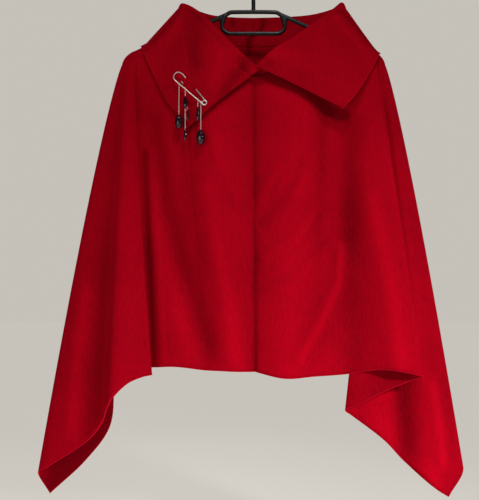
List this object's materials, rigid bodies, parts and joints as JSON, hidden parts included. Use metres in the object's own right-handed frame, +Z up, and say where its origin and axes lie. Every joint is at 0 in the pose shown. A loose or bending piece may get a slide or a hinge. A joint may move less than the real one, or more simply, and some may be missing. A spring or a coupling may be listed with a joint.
{
  "type": "cape on a clothes hanger",
  "caption": "Wide short cape of thick felted wool with a folded pointed collar and falling side corners, on a plain hanger, with a wire kilt pin and hanging beads.",
  "frame": {"origin": "The inner crown of the hanger's hook, where a rod carries it", "axes": "+Z up, the front of the cape towards -Y, +X to the left of a viewer behind it and to the wearer's left"},
  "size_m": [0.6585, 0.1806, 0.8803],
  "materials": {
    "wool": "thick felted wool with a soft nap, raw-cut edges",
    "hanger_plastic": "black, satin",
    "pin_steel": "silver-coloured wire, polished",
    "chain_steel": "silver-coloured fine chain",
    "bead_glass": "very dark garnet glass, polished"
  },
  "bodies": {
    "cape": {"front_right": "wool", "front_left": "wool", "back": "wool", "collar_right": "wool", "collar_left": "wool", "hanger_bar": "hanger_plastic", "hanger_loop": "hanger_plastic", "hanger_hook": "hanger_plastic", "pin_wire": "pin_steel", "pin_point": "pin_steel"},
    "drop_1": {"drop_1_chain": "chain_steel", "drop_1_bead": "bead_glass"},
    "drop_2": {"drop_2_chain": "chain_steel", "drop_2_bead_upper": "bead_glass", "drop_2_link": "chain_steel", "drop_2_bead_lower": "bead_glass", "drop_2_bead_side": "bead_glass"},
    "drop_3": {"drop_3_chain": "chain_steel", "drop_3_bead": "bead_glass"},
    "drop_4": {"drop_4_chain": "chain_steel", "drop_4_bead": "bead_glass"}
  },
  "joints": [
    {"name": "drop_1_swing", "type": "hinge", "parent": "cape", "child": "drop_1", "pos_m": [-0.1205, -0.04672, -0.22632], "axis": [-1, 0, 0], "range_deg": [0, 60]},
    {"name": "drop_2_swing", "type": "hinge", "parent": "cape", "child": "drop_2", "pos_m": [-0.1102, -0.05003, -0.23617], "axis": [-1, 0, 0], "range_deg": [0, 60]},
    {"name": "drop_3_swing", "type": "hinge", "parent": "cape", "child": "drop_3", "pos_m": [-0.0896, -0.05666, -0.25589], "axis": [-1, 0, 0], "range_deg": [0, 60]},
    {"name": "drop_4_swing", "type": "hinge", "parent": "cape", "child": "drop_4", "pos_m": [-0.0847, -0.05823, -0.26058], "axis": [-1, 0, 0], "range_deg": [0, 60]}
  ]
}
